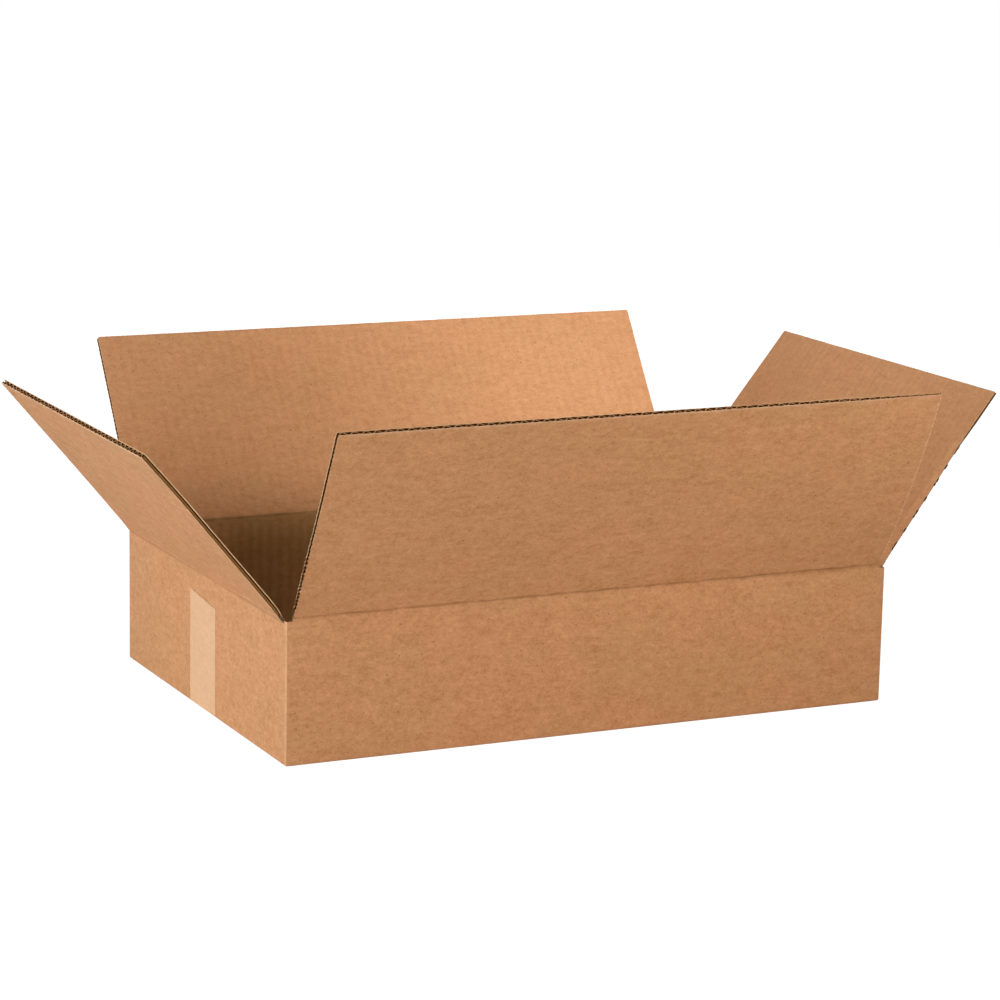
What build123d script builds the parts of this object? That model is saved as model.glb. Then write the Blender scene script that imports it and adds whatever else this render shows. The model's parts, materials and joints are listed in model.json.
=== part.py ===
from build123d import *

import os
from math import asin, degrees

# Open-topped corrugated carton, standing on its base with its four top flaps
# swung outwards. Millimetres and degrees, +Z up, origin at the centre of the
# base, long walls facing -Y (front) and +Y (back).

# Space inside the walls, and the height at which the flaps are creased,
# midway between the creases of the long and the short pair
inside_length = 457.0
inside_width = 305.0
wall_height = 99.7

# Single-wall board: two liners with a wavy fluting sheet between them
board = 4.0
liner = 0.3
fluting = 0.45
flute_pitch = 8.06
crest_width = 0.9
glue_width = 1.2

# Creases and slots of the die-cut blank
corner_radius = 1.5
slot_width = 10.0
slot_side_clearance = 0.5
crease_play = 0.1
root_gap = 0.8
crush_width = 1.2
fold_clearance = 0.2

# Seam that the long flaps leave between them when closed, on top and underneath
top_seam = 4.0
bottom_seam = 2.0

# How far each top flap stands open, measured outwards from upright. Closed, it
# lies flat over the inside; at its widest its edge all but meets the table.
front_open_angle = 28.1
back_open_angle = 34.7
left_open_angle = 40.0
right_open_angle = 37.6
closed_angle = -90.0
table_clearance = 1.0

# Glue lap that closes the ring of walls, inside the right-hand back corner
lap_width = 35.0
lap_thickness = 3.0
lap_end_gap = 4.0
lap_taper = 8.0

# Tape over the bottom seam and up both ends, torn off at a slant
tape_width = 50.0
tape_thickness = 0.2
tape_side_clearance = 0.1
tape_back_height = 83.6
tape_front_height = 78.8

outer_length = inside_length + 2 * board
outer_width = inside_width + 2 * board

# The short flaps close under the long ones, so their creases lie lower
fold_step = board + fold_clearance
long_crease = wall_height + fold_step / 2
short_crease = wall_height - fold_step / 2
long_wall_top = long_crease - fold_step
short_wall_top = short_crease - fold_step

long_flap_width = outer_length - slot_width
short_flap_width = outer_width - slot_width
long_crease_width = long_flap_width + 2 * slot_side_clearance
short_crease_width = short_flap_width + 2 * slot_side_clearance
top_flap_depth = (outer_width - top_seam) / 2
bottom_flap_depth = (outer_width - bottom_seam) / 2


with BuildPart() as carton_body:
    # Four walls round the inside, up to the tops of the short ones
    with BuildSketch() as wall_ring:
        RectangleRounded(outer_length, outer_width, corner_radius)
        Rectangle(inside_length, inside_width, mode=Mode.SUBTRACT)
    extrude(amount=short_wall_top)

    # Crushed creases that the long and the short top flaps fold along
    long_pair = (Plane.YZ, long_crease_width, outer_width / 2, long_crease, long_wall_top)
    short_pair = (Plane.XZ, short_crease_width, outer_length / 2, short_crease, short_wall_top)
    for section_plane, crease_width, outer_face, crease_height, wall_top in (long_pair, short_pair):
        with BuildSketch(section_plane.offset(-crease_width / 2)) as wall_creases:
            with BuildLine():
                Polyline(
                    (-outer_face, short_wall_top - crush_width),
                    (-outer_face, crease_height - crease_play),
                    (-outer_face + board, wall_top),
                    (-outer_face + board, short_wall_top - crush_width),
                    close=True,
                )
            make_face()
            mirror(about=Plane.YZ)
        extrude(amount=crease_width)

    # Corner posts left standing between the slots
    with BuildSketch(Plane.XY.offset(short_wall_top)) as corner_posts:
        RectangleRounded(outer_length, outer_width, corner_radius)
        Rectangle(inside_length, inside_width, mode=Mode.SUBTRACT)
        Rectangle(long_crease_width, outer_width, mode=Mode.SUBTRACT)
        Rectangle(outer_length, short_crease_width, mode=Mode.SUBTRACT)
    extrude(amount=wall_height - short_wall_top)

    # Long bottom flaps, closed to a seam along the middle of the base
    with BuildSketch() as long_bottom_flaps:
        Rectangle(long_flap_width, inside_width)
        Rectangle(long_flap_width, bottom_seam, mode=Mode.SUBTRACT)
    extrude(amount=board)

    # Short bottom flaps, folded in on top of them from the ends
    with BuildSketch(Plane.XY.offset(board)) as short_bottom_flaps:
        Rectangle(inside_length, short_flap_width)
        Rectangle(outer_length - 2 * bottom_flap_depth, short_flap_width, mode=Mode.SUBTRACT)
    extrude(amount=board)

    # Glue lap, tapered at both ends to clear the folded flaps
    lap_bottom = 2 * board + lap_end_gap
    lap_top = short_wall_top - lap_end_gap
    with BuildSketch(Plane.XZ.offset(-inside_width / 2)) as glue_lap:
        with BuildLine():
            Polyline(
                (inside_length / 2, lap_bottom),
                (inside_length / 2 - lap_width, lap_bottom + lap_taper),
                (inside_length / 2 - lap_width, lap_top - lap_taper),
                (inside_length / 2, lap_top),
                close=True,
            )
        make_face()
    extrude(amount=lap_thickness)

    # Shallow bed that the tape lies in underneath, so that the base stays flat
    with BuildSketch() as tape_bed:
        Rectangle(outer_length, tape_width + 2 * tape_side_clearance)
    extrude(amount=tape_thickness, mode=Mode.SUBTRACT)


with BuildPart() as bottom_tape:
    # Upright block of the tape's outline, seen along the carton
    with BuildSketch(Plane.YZ.offset(-outer_length / 2 - tape_thickness)) as tape_outline:
        with BuildLine():
            Polyline(
                (-tape_width / 2, 0),
                (tape_width / 2, 0),
                (tape_width / 2, tape_back_height),
                (-tape_width / 2, tape_front_height),
                close=True,
            )
        make_face()
    extrude(amount=outer_length + 2 * tape_thickness)

    # Less the carton it is wrapped round
    with BuildSketch(Plane.XY.offset(tape_thickness)) as wrapped_carton:
        Rectangle(outer_length, tape_width)
    extrude(amount=wall_height, mode=Mode.SUBTRACT)


def crease_axis(heading, reach, height):
    """Line that a flap folds along, turned so that a positive angle swings the
    flap outwards. Heading 0 is the front wall, and headings turn about +Z."""
    outward = Vector(0, -1, 0).rotate(Axis.Z, heading)
    along = Vector(1, 0, 0).rotate(Axis.Z, heading)
    return Axis(outward * reach + Vector(0, 0, height), along)


def widest_angle(crease_height):
    """Swing from upright that brings a flap's edge down to the table, or flat
    against its wall where the wall is taller than the flap is deep."""
    drop = min(1, (crease_height - table_clearance) / top_flap_depth)
    return 90 + degrees(asin(drop))


def corrugated_flap(crease, width):
    """One top flap, upright on its crease: a crushed root, then open flutes that
    run to its free edge, with half a flute cut open along each slot edge."""
    upright = Plane(crease.position, x_dir=crease.direction, z_dir=(0, 0, 1))
    root_depth = root_gap + board + crush_width

    # Voids between the fluting and a liner: half-wave spacing, outer and inner in turn
    half_waves = round(2 * width / flute_pitch)
    half_wave = width / half_waves
    places = [(i * half_wave - width / 2, 0) for i in range(half_waves + 1)]
    wave_rise = board / 2 - liner - fluting / 2
    foot = (half_wave - glue_width / 2, liner)
    shoulder = (half_wave / 3, (board - fluting + wave_rise) / 2)
    crest = (crest_width / 2, board - liner - fluting)
    left_half = [(-x, y) for x, y in (foot, shoulder, crest)]
    outer_void = [crest, shoulder, foot] + left_half
    inner_void = [(x, board - y) for x, y in reversed(outer_void)]

    with BuildPart() as flap:
        # Root, mitred so that the flap can fold in on the sloping wall top
        end = Plane(upright.from_local_coords(Vector(-width / 2, 0, 0)), x_dir=upright.y_dir, z_dir=upright.x_dir)
        with BuildSketch(end) as root:
            with BuildLine():
                Polyline(
                    (0, root_gap),
                    (0, root_depth),
                    (board, root_depth),
                    (board, root_gap + board),
                    close=True,
                )
            make_face()
        extrude(amount=width)

        # Fluted board in section, above the root
        with BuildSketch(upright.offset(root_depth)) as fluted_section:
            Rectangle(width, board, align=(Align.CENTER, Align.MIN))
            with Locations(*places[0::2]):
                Polygon(*outer_void, align=None, mode=Mode.SUBTRACT)
            with Locations(*places[1::2]):
                Polygon(*inner_void, align=None, mode=Mode.SUBTRACT)
        extrude(amount=top_flap_depth - root_depth)
    return flap.part


front_crease = crease_axis(0, outer_width / 2, long_crease)
with BuildPart() as front_flap:
    add(corrugated_flap(front_crease, long_flap_width))

back_crease = crease_axis(180, outer_width / 2, long_crease)
with BuildPart() as back_flap:
    add(corrugated_flap(back_crease, long_flap_width))

left_crease = crease_axis(-90, outer_length / 2, short_crease)
with BuildPart() as left_flap:
    add(corrugated_flap(left_crease, short_flap_width))

right_crease = crease_axis(90, outer_length / 2, short_crease)
with BuildPart() as right_flap:
    add(corrugated_flap(right_crease, short_flap_width))


def hinge_flap(name, flap, crease, open_angle):
    """Hinge a flap on its crease and swing it out from upright."""
    swing = (closed_angle, widest_angle(crease.position.Z))
    hinge = RevoluteJoint(name, to_part=carton_body.part, axis=crease, angular_range=swing)
    root = RigidJoint("root", to_part=flap, joint_location=crease.location)
    hinge.connect_to(root, angle=open_angle)


hinge_flap("front_crease", front_flap.part, front_crease, front_open_angle)
hinge_flap("back_crease", back_flap.part, back_crease, back_open_angle)
hinge_flap("left_crease", left_flap.part, left_crease, left_open_angle)
hinge_flap("right_crease", right_flap.part, right_crease, right_open_angle)

carton_body.part.label = "carton_body"
bottom_tape.part.label = "bottom_tape"
front_flap.part.label = "front_flap"
back_flap.part.label = "back_flap"
left_flap.part.label = "left_flap"
right_flap.part.label = "right_flap"

os.makedirs("parts", exist_ok=True)
export_step(carton_body.part, "parts/carton_body.step")
export_step(bottom_tape.part, "parts/bottom_tape.step")
export_step(front_flap.part, "parts/front_flap.step")
export_step(back_flap.part, "parts/back_flap.step")
export_step(left_flap.part, "parts/left_flap.step")
export_step(right_flap.part, "parts/right_flap.step")
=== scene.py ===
import itertools
import json
import math

import bpy
import numpy as np
from mathutils import Matrix, Vector


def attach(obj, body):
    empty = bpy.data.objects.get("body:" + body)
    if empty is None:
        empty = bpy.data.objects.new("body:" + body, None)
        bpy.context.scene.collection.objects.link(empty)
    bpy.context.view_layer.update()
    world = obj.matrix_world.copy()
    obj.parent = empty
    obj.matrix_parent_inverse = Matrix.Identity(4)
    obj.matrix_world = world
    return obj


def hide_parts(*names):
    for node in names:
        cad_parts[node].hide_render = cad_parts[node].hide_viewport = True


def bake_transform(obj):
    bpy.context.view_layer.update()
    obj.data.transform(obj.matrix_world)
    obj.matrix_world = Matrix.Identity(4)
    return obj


# Looks of an open-topped corrugated carton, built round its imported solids.
# Board work is laid out in millimetres and turned into metres when a piece is finished.

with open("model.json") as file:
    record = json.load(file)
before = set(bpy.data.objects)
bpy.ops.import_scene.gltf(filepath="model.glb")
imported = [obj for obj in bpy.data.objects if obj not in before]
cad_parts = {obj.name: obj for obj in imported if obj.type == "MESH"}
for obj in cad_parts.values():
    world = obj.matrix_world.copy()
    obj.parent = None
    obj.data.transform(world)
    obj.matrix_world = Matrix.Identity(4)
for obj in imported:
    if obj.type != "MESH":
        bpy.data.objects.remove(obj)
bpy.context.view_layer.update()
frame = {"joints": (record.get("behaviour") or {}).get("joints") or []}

MM = 0.001
UP = np.array([0.0, 0.0, 1.0])

# Carton, as the solids have it
outer_length = 465.0
outer_width = 313.0
half_length, half_width = outer_length / 2, outer_width / 2
half_girth = half_length + half_width
post_top = 99.7
board = 4.0
long_flap_width = 455.0
short_flap_width = 303.0
top_flap_depth = 154.5
bottom_flap_depth = 155.5
slot_width = 10.0
slot_side_clearance = 0.5
slot_reach = slot_width / 2 - slot_side_clearance
flute_pitch = 8.06

# Papers of the board, how far the waves of the fluting rise from its middle, and
# how far the liners sink between them
liner = 0.36
fluting = 0.3
wave_rise = board / 2 - liner - fluting / 2
liner_sag = 0.11
outer_sag = 0.03

# Rounding of the upright folds and of the folds at the base
fold_radius = 0.9
base_radius = 1.8

# Cut edges: the toothed knife, the lip along each slot edge that gets its own fine
# rows, how far the papers fray, and how far the liners come off the flutes
knife_pitch = 3.3
slot_lip = 1.3
liner_fray, fluting_fray = 0.14, 0.30
outer_split, inner_split = 0.08, 0.34

# Crease zone, measured along the board from the fold line
crease_below = 6.0
crease_above = 6.5
inner_crease_below = 4.4
inner_crease_above = 5.0

# Tape and the bed that it lies in
tape_width = 50.0
tape_thickness = 0.17
tape_bed = 0.2
tape_back_height = 83.6
tape_front_height = 78.8
bed_reach = tape_width / 2 + 0.1

# Papers by number in every piece of board
OUTER, INNER, CUT, SHADED_FLUTE, SHADED_INSIDE, SHADED_FLANK = range(6)

# Keeps the pulp of one face of the board apart from that of the other
face_shift = 10.0

# Height up to which the rows of the wall sheets lie level
level_top = 80.0

# Place beyond every wall: on_walls brings it back to the wall's own plane
FAR = 1000.0


def wander(along, wavelength, seed):
    """Smooth irregular line of about unit height."""
    draw = np.random.default_rng(seed)
    total = np.zeros_like(along, dtype=float)
    for octave in range(4):
        finer = 2**octave
        turn = 2 * math.pi * finer / wavelength * draw.uniform(0.8, 1.25)
        total += np.sin(along * turn + draw.uniform(0, 2 * math.pi)) / finer**0.8
    return total / 1.6


def ripple(across, along, wavelength, seed):
    """Smooth irregular surface of about unit height."""
    waves = 7
    draw = np.random.default_rng(seed)
    total = np.zeros(np.broadcast(across, along).shape)
    for _ in range(waves):
        heading = draw.uniform(0, math.pi)
        turn = 2 * math.pi / wavelength * draw.uniform(0.6, 1.7)
        shift = draw.uniform(0, 2 * math.pi)
        total += np.sin(turn * (across * math.cos(heading) + along * math.sin(heading)) + shift)
    return total / math.sqrt(waves)


def ramp(value, low, high):
    """Smooth step from 0 at low to 1 at high."""
    share = np.clip((value - low) / (high - low), 0, 1)
    return share * share * (3 - 2 * share)


def bump_at(value, centre, width):
    """Smooth hump of unit height."""
    return np.exp(-(((value - centre) / width) ** 2))


class BoardWork:
    """Gathers the paper sheets of one piece and turns them into a mesh. Each point
    keeps its place on the flat blank (sheet), how near it is to a flute's tip, how much
    painted shade it has at a crease, and how pale it is from a rubbed edge, lifted tape
    or the painted highlight along an upright fold (marks)."""

    def __init__(self):
        self.points, self.sheet, self.marks = [], [], []
        self.quads, self.papers = [], []
        self.count = 0

    def add_points(self, points, sheet, marks):
        rows, columns = points.shape[:2]
        first = self.count
        self.count += rows * columns
        self.points.append(points.reshape(-1, 3))
        self.sheet.append(sheet.reshape(-1, 3))
        self.marks.append(marks.reshape(-1, 3))
        return first + np.arange(rows * columns).reshape(rows, columns)

    def add_quads(self, corners, paper):
        """The paper is one number, or a column with one for each row of the sheet."""
        quads = np.stack(corners, -1)
        self.quads.append(quads.reshape(-1, 4))
        self.papers.append(np.broadcast_to(paper, quads.shape[:-1]).ravel())

    def add_sheet(self, face, back, lay, marks, papers, rims="start end left right", closed=False):
        """One sheet of paper with its thickness. Rows run along it and columns
        across it. The papers are those of the face, the back and the cut rims."""
        # A sheet whose face would point inwards is turned over
        row, column = face.shape[0] // 2 - 1, face.shape[1] // 2 - 1
        across = face[row, column + 1] - face[row, column]
        along = face[row + 1, column] - face[row, column]
        if np.dot(np.cross(across, along), face[row, column] - back[row, column]) < 0:
            face, back, lay, marks = (a[:, ::-1] for a in (face, back, lay, marks))
            swapped = {"left": "right", "right": "left"}
            rims = " ".join(swapped.get(rim, rim) for rim in rims.split())
        f = self.add_points(face, lay, marks)
        b = self.add_points(back, lay, marks)
        if closed:
            f = np.concatenate([f, f[:, :1]], 1)
            b = np.concatenate([b, b[:, :1]], 1)
        self.add_quads((f[:-1, :-1], f[:-1, 1:], f[1:, 1:], f[1:, :-1]), papers[0])
        self.add_quads((b[:-1, :-1], b[1:, :-1], b[1:, 1:], b[:-1, 1:]), papers[1])
        if "start" in rims:
            self.add_quads((f[0, :-1], b[0, :-1], b[0, 1:], f[0, 1:]), papers[2])
        if "end" in rims:
            self.add_quads((f[-1, :-1], f[-1, 1:], b[-1, 1:], b[-1, :-1]), papers[2])
        if "left" in rims:
            self.add_quads((f[:-1, 0], f[1:, 0], b[1:, 0], b[:-1, 0]), papers[2])
        if "right" in rims:
            self.add_quads((f[:-1, -1], b[:-1, -1], b[1:, -1], f[1:, -1]), papers[2])

    def finish(self, name, papers):
        points = np.concatenate(self.points) * MM
        quads = np.concatenate(self.quads)
        mesh = bpy.data.meshes.new(name)
        mesh.vertices.add(len(points))
        mesh.vertices.foreach_set("co", points.astype(np.float32).ravel())
        mesh.loops.add(4 * len(quads))
        mesh.loops.foreach_set("vertex_index", quads.astype(np.int32).ravel())
        mesh.polygons.add(len(quads))
        mesh.polygons.foreach_set("loop_start", np.arange(0, 4 * len(quads), 4, dtype=np.int32))
        mesh.polygons.foreach_set("material_index", np.concatenate(self.papers).astype(np.int32))
        mesh.polygons.foreach_set("use_smooth", np.ones(len(quads), bool))
        mesh.update(calc_edges=True)
        mesh.set_sharp_from_angle(angle=math.radians(38))
        for attribute, values, scale in (("sheet", self.sheet, MM), ("marks", self.marks, 1.0)):
            layer = mesh.attributes.new(attribute, "FLOAT_VECTOR", "POINT")
            layer.data.foreach_set("vector", (np.concatenate(values) * scale).astype(np.float32).ravel())
        for paper in papers:
            mesh.materials.append(paper)
        piece = bpy.data.objects.new(name, mesh)
        bpy.context.scene.collection.objects.link(piece)
        return piece


def stack(*channels):
    """Joins channels of any shapes into one array of rows."""
    return np.stack(np.broadcast_arrays(*[np.asarray(c, float) for c in channels]), -1)


def flute_height(x, width, half_waves, first, phase, seed):
    """Height of the fluting in the board, from -1 at the outer liner to 1 at the
    inner one. The waves drift a little, but not at the slot edges."""
    drift = 0.35 * wander(x, 70, seed) * ramp(width / 2 - np.abs(x), 4, 20)
    turn = np.cos(math.pi * half_waves * (x + width / 2) / width + phase + drift)
    return first * np.sign(turn) * np.abs(turn) ** 0.85


def knife_edge(along, seed, bite):
    """How far a slot edge, cut by a toothed knife, wanders from its line."""
    tooth = np.abs(np.sin(math.pi * along / knife_pitch + 0.8 * wander(along, 40, seed)))
    depth = np.clip(0.7 + 0.4 * wander(along, 25, seed + 2), 0.2, 1.4)
    return bite * ((0.5 - tooth) * depth + 0.12 * wander(along, 9, seed + 1))


class Panel:
    """A panel of single-wall board. x runs across the flutes, s along them from the
    fold, and n through the board from its outer face to its inner one. A plain panel
    lies hidden and has fewer rows."""

    def __init__(
        self, width, starts, end, place, lay, first=-1, phase=0.0, seed=1, warp=None,
        crushed=None, sag=None, worn=0.0, bite=None, flute_from=None, plain=False,
    ):
        self.width = width
        self.outer_start, self.inner_start = starts
        self.end = end
        self.place = place
        self.lay = lay
        self.first = first
        self.phase = phase
        self.seed = seed
        self.warp = warp or (lambda x, s: 0 * x * s)
        self.crushed = crushed or (lambda x, s, n: n)
        self.sag = sag or (lambda x: liner_sag + 0 * x)
        self.worn = worn
        self.bite = bite or (lambda s: 0.6 + 0 * s)
        self.flute_from = starts[0] if flute_from is None else flute_from
        self.plain = plain
        self.half_waves = round(2 * width / flute_pitch)
        if self.half_waves % 2 == 0:
            self.half_waves += 1

    def through(self, x, s, n):
        """Place of a point in the board, thinner where the knife pressed on it."""
        reach = self.width / 2 - np.abs(x)
        thin = 1 - 0.05 * bump_at(s, self.end, 1.4) - 0.05 * bump_at(reach, 0, 1.6)
        middle = board / 2
        n = middle + (n - middle) * thin
        return self.place(x, s, self.crushed(x, s, n) + self.warp(x, s))

    def layer(self, work, x, shares, start, faces, papers, side, recess, rims):
        """One sheet of the board from its start to the free edge. The side is -1 for
        the outer liner, 1 for the inner one and 0 for the fluting."""
        free = self.end - 0.12 + 0.1 * wander(x, 5, self.seed + side)
        free = free + 0.06 * wander(x, 40, self.seed + 7) - recess
        s = start + shares[:, None] * (free - start)[None, :]
        half = self.width / 2
        at_edge = np.where(np.abs(x) > half - 0.3, np.sign(x), 0.0)
        cut_line = knife_edge(s, self.seed + 20 + side, self.bite(s)) - 0.25
        across = x[None, :] + at_edge[None, :] * cut_line
        tip = flute_height(x, self.width, self.half_waves, self.first, self.phase, self.seed)
        tip = tip[None, :] + 0 * s
        u, v = self.lay(across, s)
        worn_edge = 0.0
        if side < 0:
            broken = np.clip(0.8 + 0.5 * wander(s, 9, self.seed + 3), 0.2, 1.4)
            worn_edge = self.worn * bump_at(half - across, 0, 0.8) * broken
            worn_edge = worn_edge + 1.3 * bump_at(s, self.end, 1.1)
        marks = stack(tip if side > 0 else -tip, 0.0, worn_edge + 0.0 * s)
        lay = stack(u, v, face_shift * side)
        sunk = self.sag(x)[None, :] * (1 - tip) / 2 if side > 0 else 0.0
        frayed = (liner_fray if side else fluting_fray) * bump_at(s, self.end - recess, 1.2)
        if side:
            split = inner_split if side > 0 else outer_split
            frayed = np.maximum(frayed, split * bump_at(half - np.abs(x), 0, 0.5)[None, :])
        face_n, back_n = (face(tip) - sunk for face in faces)
        face = self.through(across, s, face_n + frayed * (side == 0) + 0 * s)
        back = self.through(across, s, back_n + frayed * (1 if side < 0 else -1) + 0 * s)
        work.add_sheet(face, back, lay, marks, papers, rims)

    def build(self, work):
        half = self.width / 2
        length = self.end - self.outer_start
        near_end = 1 - np.array([5.0, 3.0, 1.6, 0.7, 0]) / length
        near_fold = np.array([0, 2.5, 5.5, 9.0, 14.0]) / length
        flute_shares = np.concatenate([np.linspace(0, near_end[0], 7), near_end[1:]])
        middle_shares = np.linspace(24.0 / length, near_end[0], 12)
        field_shares = np.concatenate([near_fold, middle_shares, near_end[1:]])
        lip_step = 0.8
        if self.plain:
            flute_shares = field_shares = np.concatenate([[0, 0.5], near_end])
            lip_step = 3.0
        lip_shares = np.linspace(0, 1, int(length / lip_step))

        def outer_depth(tip):
            return outer_sag * (1 + tip) / 2

        def flute_depth(tip, face):
            """One face of the fluting, which is thicker through the board on its flanks."""
            return board / 2 + wave_rise * tip + face * fluting / 2 * (1 + 0.35 * (1 - tip**2))

        outer_faces = outer_depth, (lambda tip: liner + outer_depth(tip))
        inner_faces = (lambda tip: board), (lambda tip: board - liner)
        flute_faces = (lambda tip: flute_depth(tip, 1)), (lambda tip: flute_depth(tip, -1))
        # Columns in each half wave, where the sheet starts, its faces, its papers, its
        # side and how far it ends short of the free edge
        sheets = (
            (4, self.outer_start, outer_faces, (OUTER, SHADED_FLUTE, CUT), -1, 0.0),
            (4, self.inner_start, inner_faces, (INNER, SHADED_FLUTE, CUT), 1, 0.05),
            (6, self.flute_from, flute_faces, (SHADED_FLUTE, SHADED_FLUTE, OUTER), 0, 0.22),
        )
        lip = np.array([0, 0.5, slot_lip])
        for columns, rims in (
            (-half + lip, "start end left"),
            (None, "start end"),
            (half - lip[::-1], "start end right"),
        ):
            for samples, start, faces, papers, side, recess in sheets:
                if columns is None:
                    x = np.linspace(-half, half, self.half_waves * samples + 1)
                    x = x[np.abs(x) < half - slot_lip - 0.2]
                    x = np.concatenate([[-half + slot_lip], x, [half - slot_lip]])
                    rows = field_shares if side else flute_shares
                else:
                    x, rows = columns, lip_shares
                    # Fluting in the slot lips takes the darker flank paper: painted shade
                    papers = papers if side else (SHADED_FLANK, SHADED_FLANK, SHADED_FLANK)
                self.layer(work, x, rows, start, faces, papers, side, recess, rims)


class Crease:
    """A top flap's fold: where it lies, and how far the flap stands open at rest."""

    def __init__(self, joint):
        self.origin = np.array(joint["pos_m"]) / MM
        self.across = np.array(joint["axis"], float)
        self.outward = np.cross(self.across, UP)
        self.open = math.radians(-90 - joint["range_deg"][0])

    def place(self, x, s, n, share=1.0):
        """Point of the board turned by a share of the opening angle."""
        x, s, n, share = np.broadcast_arrays(x, s, n, share)
        turned = share * self.open
        along = self.outward * np.sin(turned)[..., None] + UP * np.cos(turned)[..., None]
        inward = -self.outward * np.cos(turned)[..., None] + UP * np.sin(turned)[..., None]
        return self.origin + x[..., None] * self.across + s[..., None] * along + n[..., None] * inward


creases = {joint["child"]: Crease(joint) for joint in frame["joints"]}
long_crease = creases["front_flap"].origin[2]
short_crease = creases["left_flap"].origin[2]

# Middle of each wall along the blank, so that the paper runs on over the folds
blank_places = {
    "front_flap": 0.0,
    "right_flap": half_girth,
    "back_flap": 2 * half_girth,
    "left_flap": -half_girth,
}


def flap_warp(flap):
    """Slight bow of a flap, in millimetres through the board: outwards for the long
    flaps and inwards for the short ones, so that they close over each other."""

    def warp(x, s):
        share = np.clip(s / top_flap_depth, 0, 1)
        bow = 4 * share * (1 - share)
        if flap == "front_flap":
            return -2.6 * bow * ramp(x, 60, 227) - 0.35 * bow * (1.5 + ripple(x, s, 160, 5))
        outwards = -1 if flap == "back_flap" else 1
        return outwards * 0.45 * bow * (1.5 + outwards * ripple(x, s, 150, len(flap)))

    return warp


def flap_crush(flap, width):
    """Depth in the board of a flap where the knives and the folding crushed it:
    at the ends of its fold, at the front flap's torn corner and along the right
    flap's pinched slot edge."""

    def crushed(x, s, n):
        half = width / 2
        at_fold = 0.6 * bump_at(s, 0, 7) * bump_at(half - np.abs(x), 0, 12)
        n = n * (1 - at_fold)
        if flap == "front_flap":
            torn = 0.5 * bump_at(s, top_flap_depth, 14) * ramp(x, half - 80, half - 10)
            return board / 2 + (n - board / 2) * (1 - torn)
        if flap == "right_flap":
            near_edge = np.clip(1 - (x + half) / 7.0, 0, 1) * ramp(s, -crease_below, 0)
            pinned = board * np.clip(s / top_flap_depth, 0, 1)
            dashes = ramp(wander(s, 13, 91), 0.0, 0.4) * ramp(s, 8, 20)
            at_lip = np.clip(1 - (x + half) / slot_lip, 0, 1) * (1 - ramp(s, 90, 120))
            share = 0.80 - 0.30 * ramp(s, 96, 130) + (0.14 - 0.50 * dashes) * at_lip
            return pinned + (n - pinned) * (1 - np.clip(share, 0, 0.95) * near_edge)
        return n

    return crushed


# How deep the knife's teeth show along a flap's slot edges
flap_bites = {
    "front_flap": lambda s: 0.7 + 1.1 * ramp(85 - s, 0, 45),
    "right_flap": lambda s: 0.25 + 0 * s,
}


def build_flap(flap, width, first, phase, seed, papers):
    crease = creases[flap]
    start_u = blank_places[flap]
    panel = Panel(
        width,
        (crease_above, inner_crease_above),
        top_flap_depth,
        crease.place,
        lambda x, s: (start_u + x, crease.origin[2] + s),
        first=first,
        phase=phase,
        seed=seed,
        warp=flap_warp(flap),
        crushed=flap_crush(flap, width),
        worn=4.0 if flap == "front_flap" else 0.0,
        bite=flap_bites.get(flap),
        sag=lambda x: 0.045 + (0.065 * ramp(-x, 20, 200) if flap == "back_flap" else 0 * x),
    )
    work = BoardWork()
    panel.build(work)
    piece = work.finish(flap + "_board", papers)
    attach(piece, flap)
    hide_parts(flap)


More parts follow.
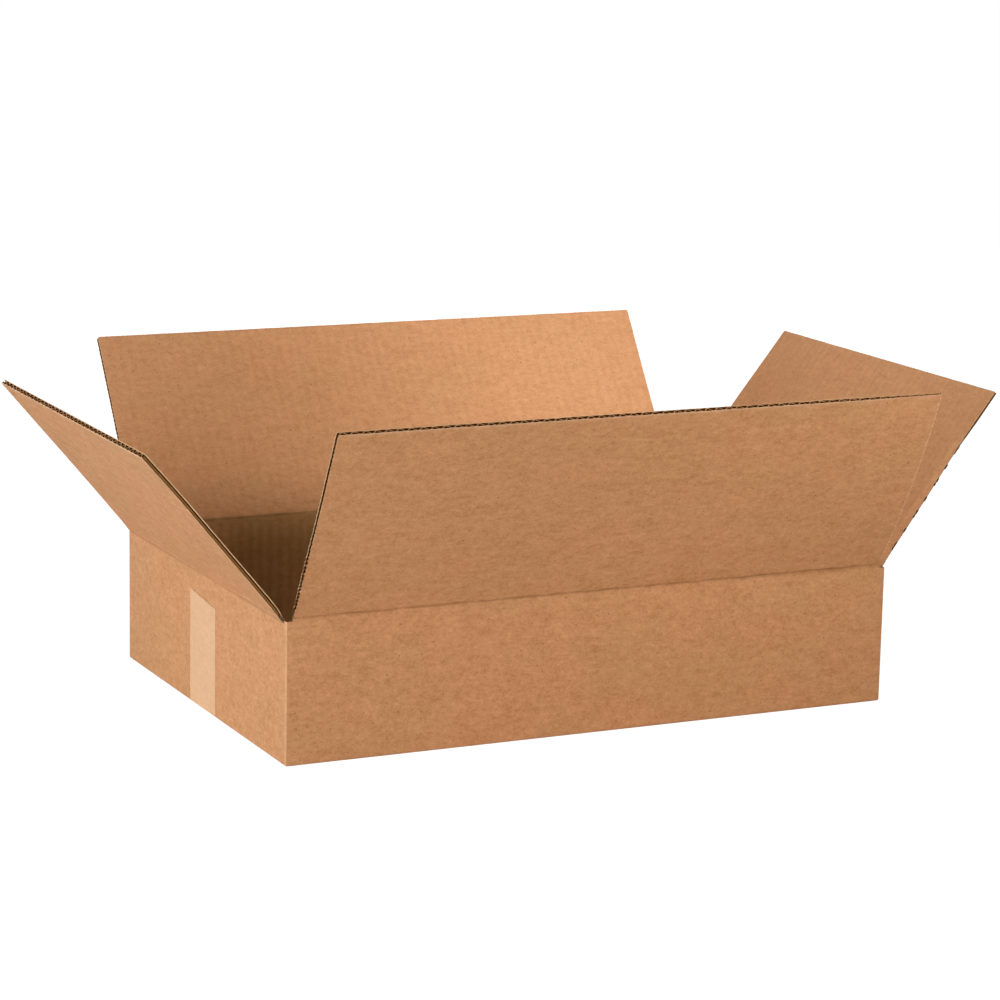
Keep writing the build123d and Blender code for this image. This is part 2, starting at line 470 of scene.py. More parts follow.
def build_crease(flap, width, seed, dent, deeper, crease_shade, papers):
    """Crushed board that joins a flap to its wall: both liners run across the
    fold, with the flattened fluting between them."""
    crease = creases[flap]
    start_u = blank_places[flap]
    half = width / 2
    crushed = flap_crush(flap, width)
    work = BoardWork()
    x = np.linspace(-1, 1, int(width / 2))

    def crease_sheet(s, n, turn_reach, thickness, papers, side, mark, mark_width=0.9):
        """One sheet with its rows at s and n from the wall to the flap, which turns
        within turn_reach of the fold."""
        s, n = s[:, None], n[:, None]
        share = ramp(s, -turn_reach, turn_reach)
        across = x[None, :] * (half + slot_side_clearance * (1 - share))
        # Unevenness along the crease, of both its dent and its painted shade
        worn = np.clip(1 + 0.35 * wander(across, 60, seed) + 0.2 * wander(across, 17, seed + 2), 0.3, 1.9)
        wavy = 0.35 * wander(across, 45, seed + 3) + 0.15 * wander(across, 12, seed + 4)
        depth = dent + deeper * ramp(across, 60, 220)
        outer_dent = np.minimum(depth * worn, 0.75) * bump_at(s - wavy, 0, 0.9)
        pressed = outer_dent if side < 0 else 0.0
        n_face = n + pressed if side < 0 else n - pressed
        n_back = n_face + thickness if side < 0 else n_face - thickness
        n_face, n_back = crushed(across, s, n_face), crushed(across, s, n_back)
        face = crease.place(across, s, n_face, share)
        back = crease.place(across, s, n_back, share)
        u, v = start_u + across, crease.origin[2] + s
        # At the front crease's right end the band of painted shade widens
        if flap == "front_flap" and side < 0:
            mark_width = mark_width + ramp(across, 60, 200)
        # The mark darkens the paper along the fold towards Dark: painted shade
        marks = stack(0.0, mark * bump_at(s, wavy if side < 0 else -0.3, mark_width) * worn, 0.0)
        work.add_sheet(face, back, stack(u, v, face_shift * side), marks, papers)

    # Outer liner, dented along the fold, with a band of painted shade along the dent
    steps, bent = np.array([0, 0.35, 0.65, 1.0]), 3.6
    below_fold = -crease_below + steps * (crease_below - bent)
    above_fold = bent + steps * (crease_above - bent)
    rows = np.concatenate([below_fold, np.linspace(-3.2, 3.2, 21), above_fold])
    crease_sheet(rows, 0 * rows, 2.2, liner, (OUTER, SHADED_FLUTE, CUT), -1, crease_shade)
    # Inner liner, folded sharp, with a line of painted shade at the fold, and the wall's paper below the
    # fold, which is the darker copy of the inner liner that paints shade on the inside
    at_fold = np.linspace(-1.8, 1.8, 19)
    rows = np.concatenate([[-inner_crease_below, -3.0], at_fold, [3.0, inner_crease_above]])
    hollow = board - 0.35 * bump_at(rows, 0.0, 0.6)
    shown = np.where(rows[1:, None] <= 0, SHADED_INSIDE, INNER)
    crease_sheet(rows, hollow, 0.6, liner, (shown, SHADED_FLUTE, CUT), 1, 1.3, 0.45)
    # Fluting, squeezed between them
    rows = np.linspace(-5.4, 5.4, 7)
    squeezed = 2.05 + 0.3 * np.sin(rows * 1.3)
    crease_sheet(rows, squeezed, 1.6, fluting, (SHADED_FLUTE, SHADED_FLUTE, CUT), 0, 0.0)
    piece = work.finish(flap.replace("flap", "crease"), papers)

    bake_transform(piece)


# Walls, as sheets that run round the carton

def ring_columns(spacing, corner_steps):
    """Columns round the carton from the middle of the front wall: an unclipped
    place, the outward direction, and the distance along the blank."""
    columns = []

    def straight(places, fixed, axis, direction, u_of):
        for p in places:
            place = [p, fixed] if axis == 0 else [fixed, p]
            columns.append((*place, *direction, u_of(p)))

    def edge_places(half):
        """Evenly spaced, with a close pair where each slot begins."""
        inner = half - fold_radius
        even = np.linspace(-inner, inner, int(2 * inner / spacing) | 1)
        pairs = [sign * (half - at) for sign in (-1, 1) for at in (slot_reach, slot_reach + 0.05)]
        keep = [p for p in even if min(abs(p - q) for q in pairs) > 0.3]
        return np.array(sorted(keep + pairs))

    long_places, short_places = edge_places(half_length), edge_places(half_width)
    quarter = math.pi / 2

    def corner(sign_x, sign_y, first_angle, u_corner):
        for step in range(1, corner_steps):
            angle = first_angle + quarter * step / corner_steps
            columns.append((sign_x * FAR, sign_y * FAR, math.cos(angle), math.sin(angle), u_corner))

    straight(long_places, -FAR, 0, (0, -1), lambda p: p)
    corner(1, -1, -quarter, half_length)
    straight(short_places, FAR, 1, (1, 0), lambda p: half_girth + p)
    corner(1, 1, 0, half_length + outer_width)
    straight(long_places[::-1], FAR, 0, (0, 1), lambda p: 2 * half_girth - p)
    corner(-1, 1, quarter, 3 * half_length + outer_width)
    straight(short_places[::-1], -FAR, 1, (-1, 0), lambda p: 3 * half_girth - p)
    corner(-1, -1, 2 * quarter, 3 * half_length + 2 * outer_width)
    return np.array(columns)


def on_walls(columns, n, z):
    """Point at depth n in the walls and height z, for each column of the ring."""
    ax, ay, dx, dy = (columns[:, i][None, :] for i in range(4))
    n, z = np.broadcast_arrays(n, z + 0 * ax)
    inset = np.maximum(fold_radius, n)
    round_off = np.maximum(fold_radius - n, 0)
    x = np.clip(ax, -(half_length - inset), half_length - inset) + round_off * dx
    y = np.clip(ay, -(half_width - inset), half_width - inset) + round_off * dy
    over_tape = (np.abs(y) < bed_reach) & (np.abs(x) > half_length - 6)
    z = z + np.where(over_tape, tape_bed * (1 - ramp(z, 0, 6)), 0)
    return np.stack([x, y, z], -1)


def wall_tops(columns, on_long, on_short):
    """Height at which each column of a wall sheet ends."""
    slot = slot_reach + 0.02
    ax, ay = np.abs(columns[:, 0]), np.abs(columns[:, 1])
    along_long = (ax < half_length - slot) & (ay > half_width)
    along_short = (ay < half_width - slot) & (ax > half_length)
    return np.where(along_long, on_long, np.where(along_short, on_short, post_top))


def upper_rows(tops):
    """Rows of a wall sheet from level_top up to where each column ends."""
    rise = np.linspace(0, 1, 5)[1:, None]
    return level_top + rise * (tops[None, :] - level_top)


def add_outer_liner(work):
    """Outer liner, rounded over at the base and at the four upright folds."""
    columns = ring_columns(3.0, 5)
    tops = wall_tops(columns, long_crease - crease_below, short_crease - crease_below)
    arc = np.linspace(0, math.pi / 2, 6)
    low = np.linspace(base_radius + 2, level_top, 11)
    upper = upper_rows(tops)

    def rows(radius, depth):
        """Height and depth of a face that turns under the wall with a radius."""
        turn_z = base_radius - radius * np.cos(arc)
        turn_n = base_radius - radius * np.sin(arc)
        level = np.concatenate([turn_z, low])[:, None] + 0 * tops[None, :]
        n = np.concatenate([turn_n, np.full(len(low) + len(upper), depth)])[:, None]
        return np.concatenate([level, upper]), n

    z, n = rows(base_radius, 0.0)
    u = columns[:, 4][None, :] + 0 * z
    on_end = np.abs(columns[:, 0]) == FAR
    along_end, along_long = np.abs(columns[:, 1]), np.abs(columns[:, 0])
    to_fold = np.where(on_end, half_width - along_end, half_length - along_long)
    to_fold = np.clip(to_fold, 0, 99)[None, :]
    beside_tape = ramp(along_end, tape_width / 2 + 3, tape_width / 2 + 25)
    swell = 0.35 * ripple(u, z * 1.3, 150, 31) * ramp(z, 4, 30) * ramp(90 - z, 0, 30)
    swell = swell * ramp(to_fold, 2, 30) * np.where(on_end, beside_tape, 1.0)[None, :]
    # Pale band along each upright fold, wider on the end walls: painted highlight
    pale_marks_and_highlight = np.where(on_end, 0.6 * bump_at(to_fold, 0, 3.0), 0.3 * bump_at(to_fold, 0, 0.9))
    marks = stack(0.0, 0.0, pale_marks_and_highlight + 0 * z)
    face = on_walls(columns, n + swell, z)
    z_back, n_back = rows(base_radius - liner, liner)
    back = on_walls(columns, n_back + swell, z_back)
    lay = stack(u, z, -face_shift)
    work.add_sheet(face, back, lay, marks, (OUTER, SHADED_FLUTE, CUT), "start end", closed=True)


def add_inner_liner(work):
    """Inner liner, sunk a little between the flutes."""
    columns = ring_columns(flute_pitch / 8, 1)
    inside_long = np.abs(columns[:, 0]) < half_length - board - 0.3
    inside_end = np.abs(columns[:, 1]) < half_width - board - 0.3
    columns = columns[np.where(np.abs(columns[:, 1]) == FAR, inside_long, inside_end)]
    tops = wall_tops(columns, long_crease - inner_crease_below, short_crease - inner_crease_below)
    level = np.linspace(0.4, level_top, 4)[:, None] + 0 * tops[None, :]
    z = np.concatenate([level, upper_rows(tops)])
    u = columns[:, 4][None, :] + 0 * z
    tip = np.cos(2 * math.pi * (u / flute_pitch + 0.06 * wander(u, 70, 41)))
    sunk = liner_sag * (1 - tip) / 2
    face = on_walls(columns, board - sunk, z)
    back = on_walls(columns, board - liner - sunk, z)
    lay = stack(u, z, face_shift)
    marks = stack(tip, 0.0, 0.0)
    work.add_sheet(face, back, lay, marks, (INNER, SHADED_FLUTE, CUT), "start end", closed=True)


def add_post_fluting(work):
    """Fluting that shows in the slots: at the corner posts and under them."""
    shown_length, crest_from_corner = 9.0, 3.6
    for sign_x, sign_y, on_long in itertools.product((-1, 1), (-1, 1), (True, False)):
        half, sign = (half_length, sign_x) if on_long else (half_width, sign_y)
        p = sign * np.linspace(half - shown_length, half - board + 0.4, 15)
        tip = np.cos(2 * math.pi * (half - np.abs(p) - crest_from_corner) / flute_pitch)
        if on_long:
            columns = np.array([(q, sign_y * FAR, 0, sign_y, q) for q in p])
        else:
            columns = np.array([(sign_x * FAR, q, sign_x, 0, q) for q in p])
        for z_low, z_high in ((0.5, 12.0), (88.0, post_top - 0.3)):
            z = np.linspace(z_low, z_high, 4)[:, None] + 0 * tip[None, :]
            if z_high > level_top:
                # Along the wall it ends at the crease zone, lower than in the post
                along_wall = (np.abs(p) < half - slot_reach)[None, :]
                z = z - (post_top - long_crease + crease_below) * along_wall * (z > 95)
            n = (board / 2 + wave_rise * tip)[None, :] + 0 * z
            face = on_walls(columns, n + fluting / 2, z)
            back = on_walls(columns, n - fluting / 2, z)
            lay = stack(p[None, :] + 0 * z, z, 0.0)
            work.add_sheet(face, back, lay, 0 * lay, (SHADED_FLUTE, SHADED_FLUTE, CUT))


def add_end_strips(work):
    """Strip that closes each end wall's fold underneath."""
    y = np.linspace(-short_flap_width / 2, short_flap_width / 2, 101)[None, :]
    for sign in (-1, 1):
        depth = np.array([base_radius, 3.2, 3.8, board, board])[:, None] + 0 * y
        level = np.array([0.0, 0.0, 0.25, 0.9, 3.9])[:, None] + 0 * y
        bed = np.where(np.abs(y) < bed_reach, tape_bed, 0.0) * (level < 0.5)
        face = stack(sign * (half_length - depth), y, level + bed)
        inward = np.array([0.0, 0.0, -0.25, -liner, -liner])[:, None]
        raised = np.array([liner, liner, 0.3, 0.1, 0.0])[:, None]
        back = stack(sign * (half_length - depth - inward), y, level + bed + raised)
        lay = stack(sign * half_girth + y, -depth, -face_shift)
        work.add_sheet(face, back, lay, 0 * lay, (OUTER, SHADED_FLUTE, CUT))


def build_walls(papers):
    work = BoardWork()
    add_outer_liner(work)
    add_inner_liner(work)
    add_post_fluting(work)
    add_end_strips(work)
    piece = work.finish("carton_walls", papers)
    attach(piece, "body")
    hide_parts("carton_body")


def build_bottom_flaps(papers):
    """The long pair, closed to a seam on the base, and the short pair on top."""
    work = BoardWork()
    hidden = {"bite": lambda s: 0.2 + 0 * s, "flute_from": bottom_flap_depth - 30, "plain": True}
    for sign, seed in ((-1, 51), (1, 52)):
        def long_place(x, s, n, sign=sign):
            y = sign * (half_width - s)
            sunk = tape_bed * (np.abs(y) < bed_reach) * np.clip(1 - n / board, 0, 1)
            return stack(x, y, n + sunk)

        def long_lay(x, s, sign=sign):
            return x + (2 * half_girth if sign > 0 else 0.0), -s

        def short_place(y, s, n, sign=sign):
            return stack(sign * (half_length - s), y, board + 0.02 + n)

        def short_lay(y, s, sign=sign):
            return y + sign * half_girth, -s

        for width, starts, place, lay, panel_seed in (
            (long_flap_width, (base_radius, board), long_place, long_lay, seed),
            (short_flap_width, (board, board), short_place, short_lay, seed + 10),
        ):
            Panel(width, starts, bottom_flap_depth, place, lay, seed=panel_seed, **hidden).build(work)
    piece = work.finish("bottom_flaps", papers)
    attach(piece, "body")
    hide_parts("carton_body")


def build_glue_lap(papers):
    """Lap glued inside the back wall at the right-hand corner, tapered at its ends."""
    lap_width, lap_thickness, lap_taper = 35.0, 3.0, 8.0
    lap_low, lap_high = 12.0, 89.4
    work = BoardWork()
    x = np.linspace(0, 1, 70)[None, :]
    shares = np.linspace(0, 1, 14)[:, None]
    ends = lap_taper * x
    z = lap_low + ends + shares * (lap_high - lap_low - 2 * ends)
    tip = np.cos(2 * math.pi * x * lap_width / flute_pitch) + 0 * z
    right = half_length - board
    wall_face = half_width - board

    def sheet_at(depth, thickness, papers, side):
        depth = depth + 0 * z
        face = stack(right - x * lap_width, wall_face - depth, z)
        back = stack(right - x * lap_width, wall_face - depth + thickness, z)
        lay = stack(x * lap_width - 600.0, z, face_shift * side)
        work.add_sheet(face, back, lay, stack(tip, 0.0, 0.0), papers)

    sheet_at(lap_thickness - liner_sag * (1 - tip) / 2, liner, (INNER, SHADED_FLUTE, CUT), 1)
    sheet_at(1.5 + 0.9 * tip, fluting, (SHADED_FLUTE, SHADED_FLUTE, CUT), 0)
    sheet_at(0.12 + liner, liner, (SHADED_FLUTE, SHADED_FLUTE, CUT), -1)
    piece = work.finish("glue_lap", papers)
    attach(piece, "body")
    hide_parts("carton_body")


def build_tape(tape_paper, gummed_side):
    """Tape over the bottom seam and up both ends, torn off at a slant. Its rows run
    down the left end, along under the base and up the right end."""
    work = BoardWork()
    y = np.linspace(-tape_width / 2, tape_width / 2, 76)
    slant = (y + tape_width / 2) / tape_width
    tear_pitch = 1.9
    torn = 0.45 * np.abs(((y / tear_pitch) % 1.0) * 2 - 1) + 0.35 * wander(y, 11, 61)
    height = tape_front_height + (tape_back_height - tape_front_height) * slant - torn
    radius = base_radius + tape_thickness
    reach = half_length - base_radius
    arc = np.linspace(0, math.pi / 2, 8)
    up = np.linspace(1, 0, 60)[:, None]
    rise_z = radius + up * (height[None, :] - radius)
    turn_x = -(reach + radius * np.cos(arc))[:, None] + 0 * y[None, :]
    turn_z = (radius - radius * np.sin(arc))[:, None] + 0 * y[None, :]
    end_x = np.concatenate([np.full_like(rise_z, -half_length - tape_thickness), turn_x[1:]])
    end_z = np.concatenate([rise_z, turn_z[1:]])
    under = np.linspace(-reach, reach, 60)[1:-1, None] + 0 * y[None, :]
    x = np.concatenate([end_x, under, -end_x[::-1]])
    z = np.concatenate([end_z, 0 * under, end_z[::-1]])
    across = y[None, :] + 0 * x
    step = np.hypot(np.diff(x, axis=0, prepend=x[:1]), np.diff(z, axis=0, prepend=z[:1]))
    along = np.cumsum(step, 0)
    on_end = ramp(z, 3, 12)
    # Each wrinkle's slant, how far up it runs, its width and its height
    wrinkles = sum(
        bump_at(across * math.sin(turn) + z * math.cos(turn) - at, 0, width) * rise
        for turn, at, width, rise in (
            (0.5, 52, 0.9, 0.10),
            (0.7, 36, 0.7, 0.08),
            (-0.4, 61, 0.8, 0.07),
            (0.35, 20, 1.1, 0.09),
            (-0.8, 30, 0.7, 0.06),
        )
    )
    lifted = on_end * (0.05 + 0.04 * ripple(across, z, 22, 71) + wrinkles)
    lifted = lifted + on_end * 0.25 * ramp(z, 74, 84) * (0.6 + 0.4 * wander(across, 30, 72))
    outwards = np.where(z < radius, 0.0, 1.0) * np.where(x < 0, -1.0, 1.0)
    face = stack(x + outwards * np.clip(lifted, 0, 0.6), across, z)
    outer_x = np.gradient(z, axis=0)
    outer_z = -np.gradient(x, axis=0)
    size = np.maximum(np.hypot(outer_x, outer_z), 1e-9)
    inwards = stack(-outer_x / size * tape_thickness, 0 * x, -outer_z / size * tape_thickness)
    lay = stack(across, along, 3 * face_shift)
    work.add_sheet(face, face + inwards, lay, stack(0.0, 0.0 * x, lifted), (0, 1, 0))
    piece = work.finish("sealing_tape", [tape_paper, gummed_side])
    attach(piece, "body")
    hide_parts("bottom_tape")


# Shader groups that several papers share

# Colours that every paper has
shades = ("Warm", "Olive", "Light", "Dark")


def new_group(name, inputs, outputs):
    group = bpy.data.node_groups.new(name, "ShaderNodeTree")
    for in_out, sockets in (("INPUT", inputs), ("OUTPUT", outputs)):
        for socket, kind in sockets:
            group.interface.new_socket(socket, in_out=in_out, socket_type="NodeSocket" + kind)
    return group


class Nodes:
    """Short way to place and join the nodes of one tree."""

    def __init__(self, tree):
        self.tree = tree

    def add(self, kind, inputs=(), **settings):
        node = self.tree.nodes.new(kind)
        for name, value in settings.items():
            setattr(node, name, value)
        for key, value in dict(inputs).items():
            if isinstance(value, bpy.types.NodeSocket):
                self.tree.links.new(value, node.inputs[key])
            else:
                node.inputs[key].default_value = value
        return node

    def math(self, operation, first, second, third=0.0, clamp=False):
        inputs = {0: first, 1: second, 2: third}
        return self.add("ShaderNodeMath", inputs, operation=operation, use_clamp=clamp).outputs[0]

    def stretch(self, vector, scale):
        node = self.add("ShaderNodeVectorMath", {0: vector, 1: scale}, operation="MULTIPLY")
        return node.outputs[0]

    def noise(self, vector, scale, detail, roughness):
        inputs = {"Vector": vector, "Scale": scale, "Detail": detail, "Roughness": roughness}
        return self.add("ShaderNodeTexNoise", inputs).outputs["Fac"]

    def cells(self, vector, scale):
        inputs = {"Vector": vector, "Scale": scale}
        return self.add("ShaderNodeTexVoronoi", inputs, voronoi_dimensions="2D").outputs

    def spread(self, value, low, high, to_low=0.0, to_high=1.0):
        inputs = {"Value": value, "From Min": low, "From Max": high, "To Min": to_low, "To Max": to_high}
        return self.add("ShaderNodeMapRange", inputs, interpolation_type="SMOOTHSTEP").outputs["Result"]

    def mix(self, share, first, second, blend_type="MIX"):
        inputs = {0: share, 6: first, 7: second}
        return self.add("ShaderNodeMix", inputs, data_type="RGBA", blend_type=blend_type).outputs[2]


def build_pulp_group():
    """Pulp of kraft paper: clouds, streaks along the web, specks, fibres and grain."""
    features = ("Clouds", "Flocks", "Hue Drift", "Streaks", "Specks", "Fibres", "Grain")
    outputs = [(feature, "Float") for feature in features]
    group = new_group("kraft_pulp", [("Sheet", "Vector")], outputs)
    n = Nodes(group)
    sheet = n.add("NodeGroupInput").outputs["Sheet"]
    out = n.add("NodeGroupOutput").inputs
    # The web ran along the blank, so everything in it is drawn out that way
    along_web = n.stretch(sheet, (0.62, 1.0, 1.0))
    clouds = n.noise(along_web, 90.0, 2.0, 0.9)
    flocks = n.noise(n.stretch(sheet, (0.75, 1.0, 1.0)), 260.0, 2.0, 0.9)
    elsewhere = n.add("ShaderNodeVectorMath", {0: along_web, 1: (3.1, 7.7, 1.3)}, operation="ADD")
    drift = n.noise(elsewhere.outputs[0], 26.0, 3.0, 0.5)
    streaks = n.noise(n.stretch(sheet, (0.22, 1.0, 1.0)), 260.0, 3.0, 0.7)
    grain = n.noise(n.stretch(sheet, (0.8, 1.0, 1.0)), 820.0, 2.0, 0.9)
    # Specks and fibres sit in some of the cells only
    cells = n.cells(sheet, 120.0)
    size = n.spread(cells["Distance"], 0.03, 0.10, 1.0, 0.0)
    chance = n.add("ShaderNodeSeparateColor", {"Color": cells["Color"]}).outputs[0]
    specks = n.math("MULTIPLY", size, n.spread(chance, 0.84, 0.98))
    fibres = 0.0
    for turn, scale in ((0.5, 210.0), (-0.7, 170.0), (1.4, 240.0)):
        inputs = {"Vector": sheet, "Angle": turn}
        turned = n.add("ShaderNodeVectorRotate", inputs, rotation_type="Z_AXIS").outputs[0]
        cells = n.cells(n.stretch(turned, (0.16, 1.0, 1.0)), scale)
        thin = n.spread(cells["Distance"], 0.0, 0.09, 1.0, 0.0)
        chance = n.add("ShaderNodeSeparateColor", {"Color": cells["Color"]}).outputs[1]
        fibre = n.math("MULTIPLY", thin, n.spread(chance, 0.88, 0.98))
        fibres = n.math("ADD", fibres, fibre, clamp=True)
    for feature, value in zip(features, (clouds, flocks, drift, streaks, specks, fibres, grain)):
        group.links.new(value, out[feature])
    return group


def build_surface_group(pulp_group):
    """Colour, relief and roughness of a kraft surface from its pulp and its marks."""
    inputs = [("Sheet", "Vector"), ("Marks", "Vector"), ("Mottle", "Float"), ("Flute Show", "Float")]
    inputs += [(shade, "Color") for shade in shades]
    outputs = [("Color", "Color"), ("Height", "Float"), ("Roughness", "Float")]
    group = new_group("kraft_surface", inputs, outputs)
    n = Nodes(group)
    given = n.add("NodeGroupInput").outputs
    out = n.add("NodeGroupOutput").inputs
    pulp = n.add("ShaderNodeGroup", {"Sheet": given["Sheet"]}, node_tree=pulp_group).outputs
    tip, crease, pale_marks_and_highlight = n.add("ShaderNodeSeparateXYZ", {0: given["Marks"]}).outputs
    hue = n.spread(pulp["Hue Drift"], 0.36, 0.64)
    colour = n.mix(hue, given["Warm"], given["Olive"])
    # Clouds and streaks lighten and darken the sheet round its own colour
    total = 0.0
    for feature, share in (("Clouds", 0.32), ("Flocks", 0.64), ("Streaks", 0.20), ("Grain", 0.48)):
        part = n.math("MULTIPLY", n.math("SUBTRACT", pulp[feature], 0.5), share)
        total = n.math("ADD", total, part)
    total = n.math("MULTIPLY", total, given["Mottle"])
    tips = n.math("MULTIPLY", n.math("MULTIPLY", tip, given["Flute Show"]), 0.5)
    total = n.math("ADD", total, tips)
    # Lighter pulp is greyer too, so its green and blue rise faster than its red
    shift = [n.math("MULTIPLY_ADD", total, rise, 1.0) for rise in (0.80, 1.08, 1.50)]
    shift = n.add("ShaderNodeCombineColor", enumerate(shift)).outputs[0]
    colour = n.mix(1.0, colour, shift, "MULTIPLY")
    for mark, share, shade in (
        (pulp["Fibres"], 0.28, "Dark"),
        (pulp["Specks"], 0.65, "Dark"),
        # Painted shade along the creases
        (crease, 0.30, "Dark"),
        # Pale marks: rubbed wear on the flap edges, lifted tape, and the painted highlight along the
        # upright folds
        (pale_marks_and_highlight, 0.25, "Light"),
    ):
        colour = n.mix(n.math("MULTIPLY", mark, share, clamp=True), colour, given[shade])
    grain = n.math("MULTIPLY", pulp["Grain"], 0.7)
    height = n.math("ADD", grain, n.math("MULTIPLY", pulp["Streaks"], 0.3))
    height = n.math("SUBTRACT", height, n.math("MULTIPLY", pulp["Fibres"], 0.25))
    rough = n.spread(pulp["Grain"], 0.2, 0.8, 0.90, 0.74)
    for (name, _), value in zip(outputs, (colour, height, rough)):
        group.links.new(value, out[name])
    return group


def paper_material(name, colours, mottle, flute_show, relief, specular=0.12):
    """Paper with its four colours, in the order of the shades."""
    material = bpy.data.materials.new(name)
    material.use_nodes = True
    material.node_tree.nodes.clear()
    n = Nodes(material.node_tree)
    sheet = n.add("ShaderNodeAttribute", attribute_name="sheet").outputs["Vector"]
    marks = n.add("ShaderNodeAttribute", attribute_name="marks").outputs["Vector"]
    inputs = {"Sheet": sheet, "Marks": marks, "Mottle": mottle, "Flute Show": flute_show}
    for shade, colour in zip(shades, colours):
        inputs[shade] = (*colour, 1)
    surface = n.add("ShaderNodeGroup", inputs, node_tree=surface_group).outputs
    inputs = {"Height": surface["Height"], "Strength": relief, "Distance": 0.0002}
    bump = n.add("ShaderNodeBump", inputs).outputs["Normal"]
    inputs = {"Base Color": surface["Color"], "Roughness": surface["Roughness"], "Normal": bump}
    shader = n.add("ShaderNodeBsdfPrincipled", inputs)
    shader.inputs["Specular IOR Level"].default_value = specular
    n.add("ShaderNodeOutputMaterial", {"Surface": shader.outputs[0]})
    return material


surface_group = build_surface_group(build_pulp_group())

# Warm and olive tone; Light for rubbed edges, lifted tape and the painted highlight along the upright
# folds; Dark for specks, fibres and the painted shade along the creases
outer_colours = ((0.547, 0.251, 0.108), (0.522, 0.251, 0.105), (0.78, 0.47, 0.28), (0.18, 0.076, 0.026))
inner_colours = ((0.545, 0.247, 0.106), (0.53, 0.247, 0.104), (0.68, 0.4, 0.22), (0.15, 0.072, 0.03))
# Darker copy of the inner liner, for the inside of the walls: painted shade
shaded_inside_colours = ((0.4, 0.202, 0.071), (0.388, 0.201, 0.069), (0.6, 0.38, 0.2), (0.13, 0.07, 0.03))
cut_colours = ((0.71, 0.435, 0.225), (0.68, 0.42, 0.215), (0.78, 0.52, 0.32), (0.26, 0.13, 0.06))
# Fluting and the backs of the liners, painted dark: shade inside the flutes
shaded_flute_colours = ((0.11, 0.031, 0.004), (0.102, 0.03, 0.004), (0.16, 0.07, 0.025), (0.05, 0.02, 0.006))
# Fluting in the slot lips, painted darker: shade on its flanks
shaded_flank_colours = ((0.222, 0.089, 0.027), (0.208, 0.086, 0.025), (0.3, 0.14, 0.06), (0.1, 0.04, 0.014))
tape_colours = ((0.65, 0.372, 0.188), (0.635, 0.367, 0.184), (0.72, 0.45, 0.25), (0.44, 0.235, 0.11))

outer_liner = paper_material("kraft_outer_liner", outer_colours, 1.0, 0.0, 0.35)
inner_liner = paper_material("kraft_inner_liner", inner_colours, 0.8, 0.05, 0.3)
shaded_inside_liner = paper_material("kraft_inside_liner_painted_shade", shaded_inside_colours, 0.8, 0.16, 0.3)
cut_edge = paper_material("cut_liner_edge", cut_colours, 1.0, 0.0, 0.6, 0.1)
shaded_flute_inside = paper_material("fluting_inside_painted_shade", shaded_flute_colours, 0.6, 0.0, 0.3, 0.0)
shaded_flute_flank = paper_material("fluting_flank_painted_shade", shaded_flank_colours, 0.8, 0.0, 0.3, 0.0)
tape_back = paper_material("gummed_tape", tape_colours, 0.35, 0.0, 0.2, 0.5)
tape_gum = paper_material("gummed_side", tape_colours, 0.3, 0.0, 0.2, 0.3)
board_papers = [outer_liner, inner_liner, cut_edge, shaded_flute_inside, shaded_inside_liner, shaded_flute_inside]
left_flap_papers = board_papers[:5] + [shaded_flute_flank]
# The walls' inner faces take the darker copy of the inner liner: painted shade
wall_papers = [outer_liner, shaded_inside_liner, cut_edge, shaded_flute_inside, shaded_inside_liner, shaded_flute_inside]

build_walls(wall_papers)
build_bottom_flaps(wall_papers)
build_glue_lap(wall_papers)
build_tape(tape_back, tape_gum)
# Way the first flute points at a flap's left edge, its phase and the seed
for flap, width, first, phase, seed, papers in (
    ("front_flap", long_flap_width, -1, 0.0, 11, board_papers),
    ("back_flap", long_flap_width, 1, 0.0, 12, board_papers),
    ("left_flap", short_flap_width, -1, -1.5, 13, left_flap_papers),
    ("right_flap", short_flap_width, -1, 0.0, 14, board_papers),
):
    build_flap(flap, width, first, phase, seed, papers)
# Dent along a crease, how much deeper it is at its right end, and how much painted shade lies along it
for flap, width, seed, dent, deeper, crease_shade in (
    ("front_flap", long_flap_width, 81, 0.46, 0.14, 1.25),
    ("back_flap", long_flap_width, 82, 0.35, 0, 1.0),
    ("left_flap", short_flap_width, 83, 0.03, 0, 0.2),
    ("right_flap", short_flap_width, 84, 0.3, 0, 1.0),
):
    build_crease(flap, width, seed, dent, deeper, crease_shade, board_papers)


# Stage: a white floor that keeps a soft shadow, and a white surround

def white_share(n):
    """1 for the rays that see the background as white."""
    path = n.add("ShaderNodeLightPath")
    seen = n.math("MAXIMUM", path.outputs["Is Camera Ray"], path.outputs["Is Glossy Ray"])
    return n.math("MAXIMUM", seen, path.outputs["Is Transmission Ray"])


def build_floor():
    size, level = 8.0, -0.0004
    corners = [(-size, -size, level), (size, -size, level), (size, size, level), (-size, size, level)]
    mesh = bpy.data.meshes.new("studio_floor")
    mesh.from_pydata(corners, [], [(0, 1, 2, 3)])
    floor = bpy.data.objects.new("studio_floor", mesh)
    bpy.context.scene.collection.objects.link(floor)
    material = bpy.data.materials.new("white_paper_floor")
    material.use_nodes = True
    material.node_tree.nodes.clear()
    n = Nodes(material.node_tree)
    share = n.math("MULTIPLY", white_share(n), 0.85)
    diffuse = n.add("ShaderNodeBsdfDiffuse", {"Color": (0.86, 0.86, 0.86, 1)})
    glow = n.add("ShaderNodeEmission", {"Color": (1, 1, 1, 1), "Strength": 1.17})
    mixed = n.add("ShaderNodeMixShader", {0: share, 1: diffuse.outputs[0], 2: glow.outputs[0]})
    n.add("ShaderNodeOutputMaterial", {"Surface": mixed.outputs[0]})
    mesh.materials.append(material)


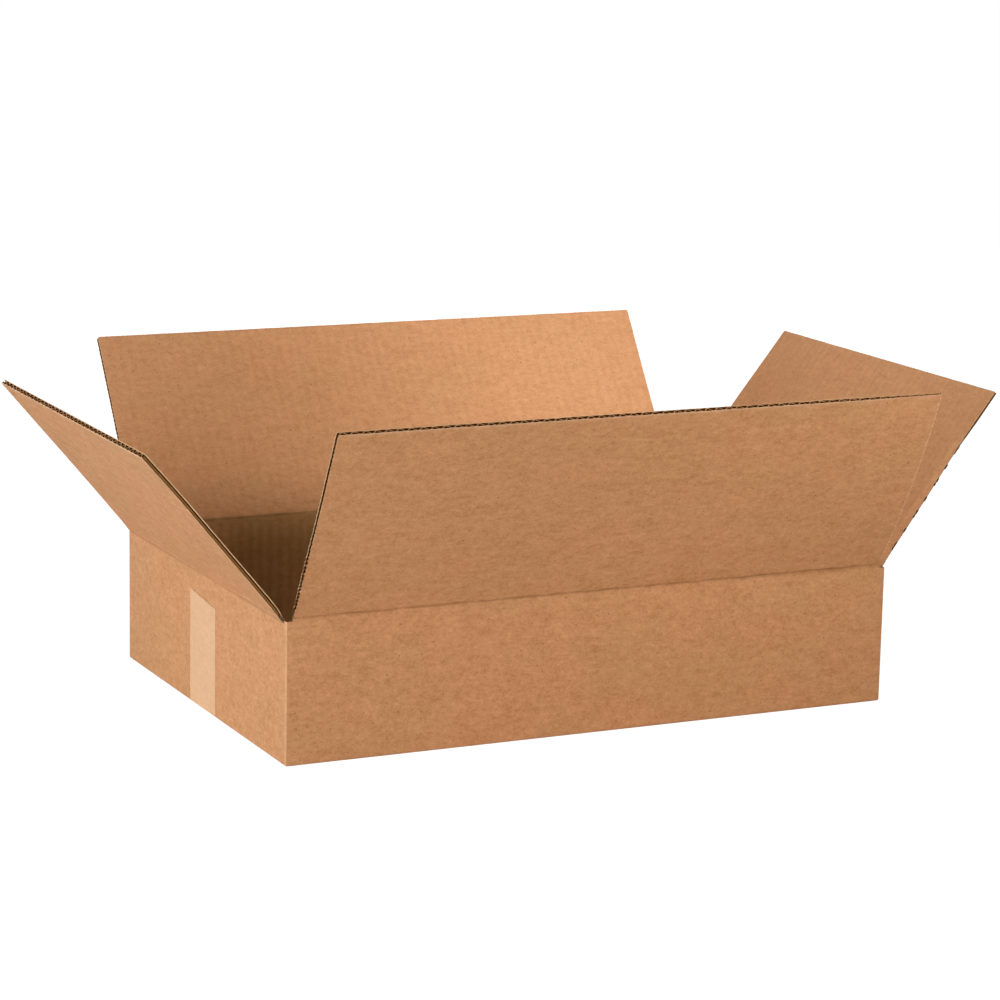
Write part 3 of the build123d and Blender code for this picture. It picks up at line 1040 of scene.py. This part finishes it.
def build_surround():
    world = bpy.data.worlds.new("studio_surround")
    bpy.context.scene.world = world
    world.use_nodes = True
    world.node_tree.nodes.clear()
    n = Nodes(world.node_tree)
    direction = n.add("ShaderNodeTexCoord").outputs["Generated"]
    height = n.add("ShaderNodeSeparateXYZ", {0: direction}).outputs[2]
    level = n.spread(height, 0.12, 0.40, 0.30, 0.05)
    soft = n.add("ShaderNodeBackground", {"Color": (1.0, 0.985, 0.96, 1), "Strength": level})
    white = n.add("ShaderNodeBackground", {"Color": (1, 1, 1, 1), "Strength": 1.0})
    mixed = n.add("ShaderNodeMixShader", {0: white_share(n), 1: soft.outputs[0], 2: white.outputs[0]})
    n.add("ShaderNodeOutputWorld", {"Surface": mixed.outputs[0]})


def softbox(name, place, aim, width, height, power, colour, spread=180.0):
    light = bpy.data.lights.new(name, "AREA")
    light.shape = "RECTANGLE"
    light.size, light.size_y = width, height
    light.spread = math.radians(spread)
    light.energy = power
    light.color = colour
    lamp = bpy.data.objects.new(name, light)
    lamp.location = place
    lamp.rotation_euler = (Vector(aim) - Vector(place)).to_track_quat("-Z", "Y").to_euler()
    bpy.context.scene.collection.objects.link(lamp)


def beside(aim, azimuth, elevation, distance):
    """Place seen from the aim at an azimuth, 0 in front, and an elevation."""
    turn, rise = math.radians(azimuth), math.radians(elevation)
    flat, up = distance * math.cos(rise), distance * math.sin(rise)
    return (aim[0] + flat * math.sin(turn), aim[1] - flat * math.cos(turn), aim[2] + up)


build_floor()
build_surround()
carton_middle = (0.0, 0.0, 0.12)
back_flap_right, back_flap_middle = (0.19, 0.205, 0.175), (0.10, 0.205, 0.175)
white, cool, cooler = (1.0, 1.0, 1.0), (0.76, 0.86, 1.0), (0.75, 0.86, 1.0)
for name, place, width, height, power, colour in (
    ("left_softbox", beside(carton_middle, -75, 21, 2.4), 0.9, 0.8, 23.8, cool),
    ("low_left_softbox", beside(carton_middle, -75, 3, 2.4), 0.9, 0.2, 22.0, cool),
    ("left_rear_softbox", beside(carton_middle, -100, 30, 2.4), 0.9, 0.9, 8.0, cool),
    ("front_strip", beside(carton_middle, -7, 20, 2.5), 0.9, 0.3, 24.5, white),
    ("overhead_softbox", (0.0, 0.1, 1.7), 0.5, 0.5, 2.6, (0.84, 0.96, 0.92)),
    ("low_right_softbox", beside(carton_middle, 95, 3, 2.4), 0.9, 0.2, 20.0, white),
    ("back_softbox", (1.0, 2.3, 0.35), 0.9, 0.9, 30.0, white),
):
    softbox(name, place, carton_middle, width, height, power, colour)
for name, aim, azimuth, power, colour, spread in (
    ("gridded_light", back_flap_right, 14, 0.205, cooler, 20.0),
    ("wide_gridded_light", back_flap_middle, 10, 0.160, white, 30.0),
):
    softbox(name, beside(aim, azimuth, 30, 1.6), aim, 0.16, 0.08, power, colour, spread)


# Camera, at the photograph's viewing angle

camera_place = (-1.03695, -2.14184, 0.62975)
yaw, pitch, roll = math.radians(25.8), math.radians(11.74), math.radians(1.18)
ahead = Vector((math.sin(yaw) * math.cos(pitch), math.cos(yaw) * math.cos(pitch), -math.sin(pitch)))
level_right = Vector((math.cos(yaw), -math.sin(yaw), 0))
level_up = level_right.cross(ahead)
camera_right = level_right * math.cos(roll) + level_up * math.sin(roll)
camera_up = level_up * math.cos(roll) - level_right * math.sin(roll)
camera_data = bpy.data.cameras.new("camera")
camera_data.sensor_width = 36.0
camera_data.lens = 119.6
camera_data.clip_start, camera_data.clip_end = 0.05, 50.0
camera = bpy.data.objects.new("camera", camera_data)
camera_axes = Matrix((camera_right, camera_up, -ahead)).transposed().to_4x4()
camera.matrix_world = Matrix.Translation(camera_place) @ camera_axes
bpy.context.scene.collection.objects.link(camera)
bpy.context.scene.camera = camera

bpy.context.scene.view_settings.view_transform = "Standard"
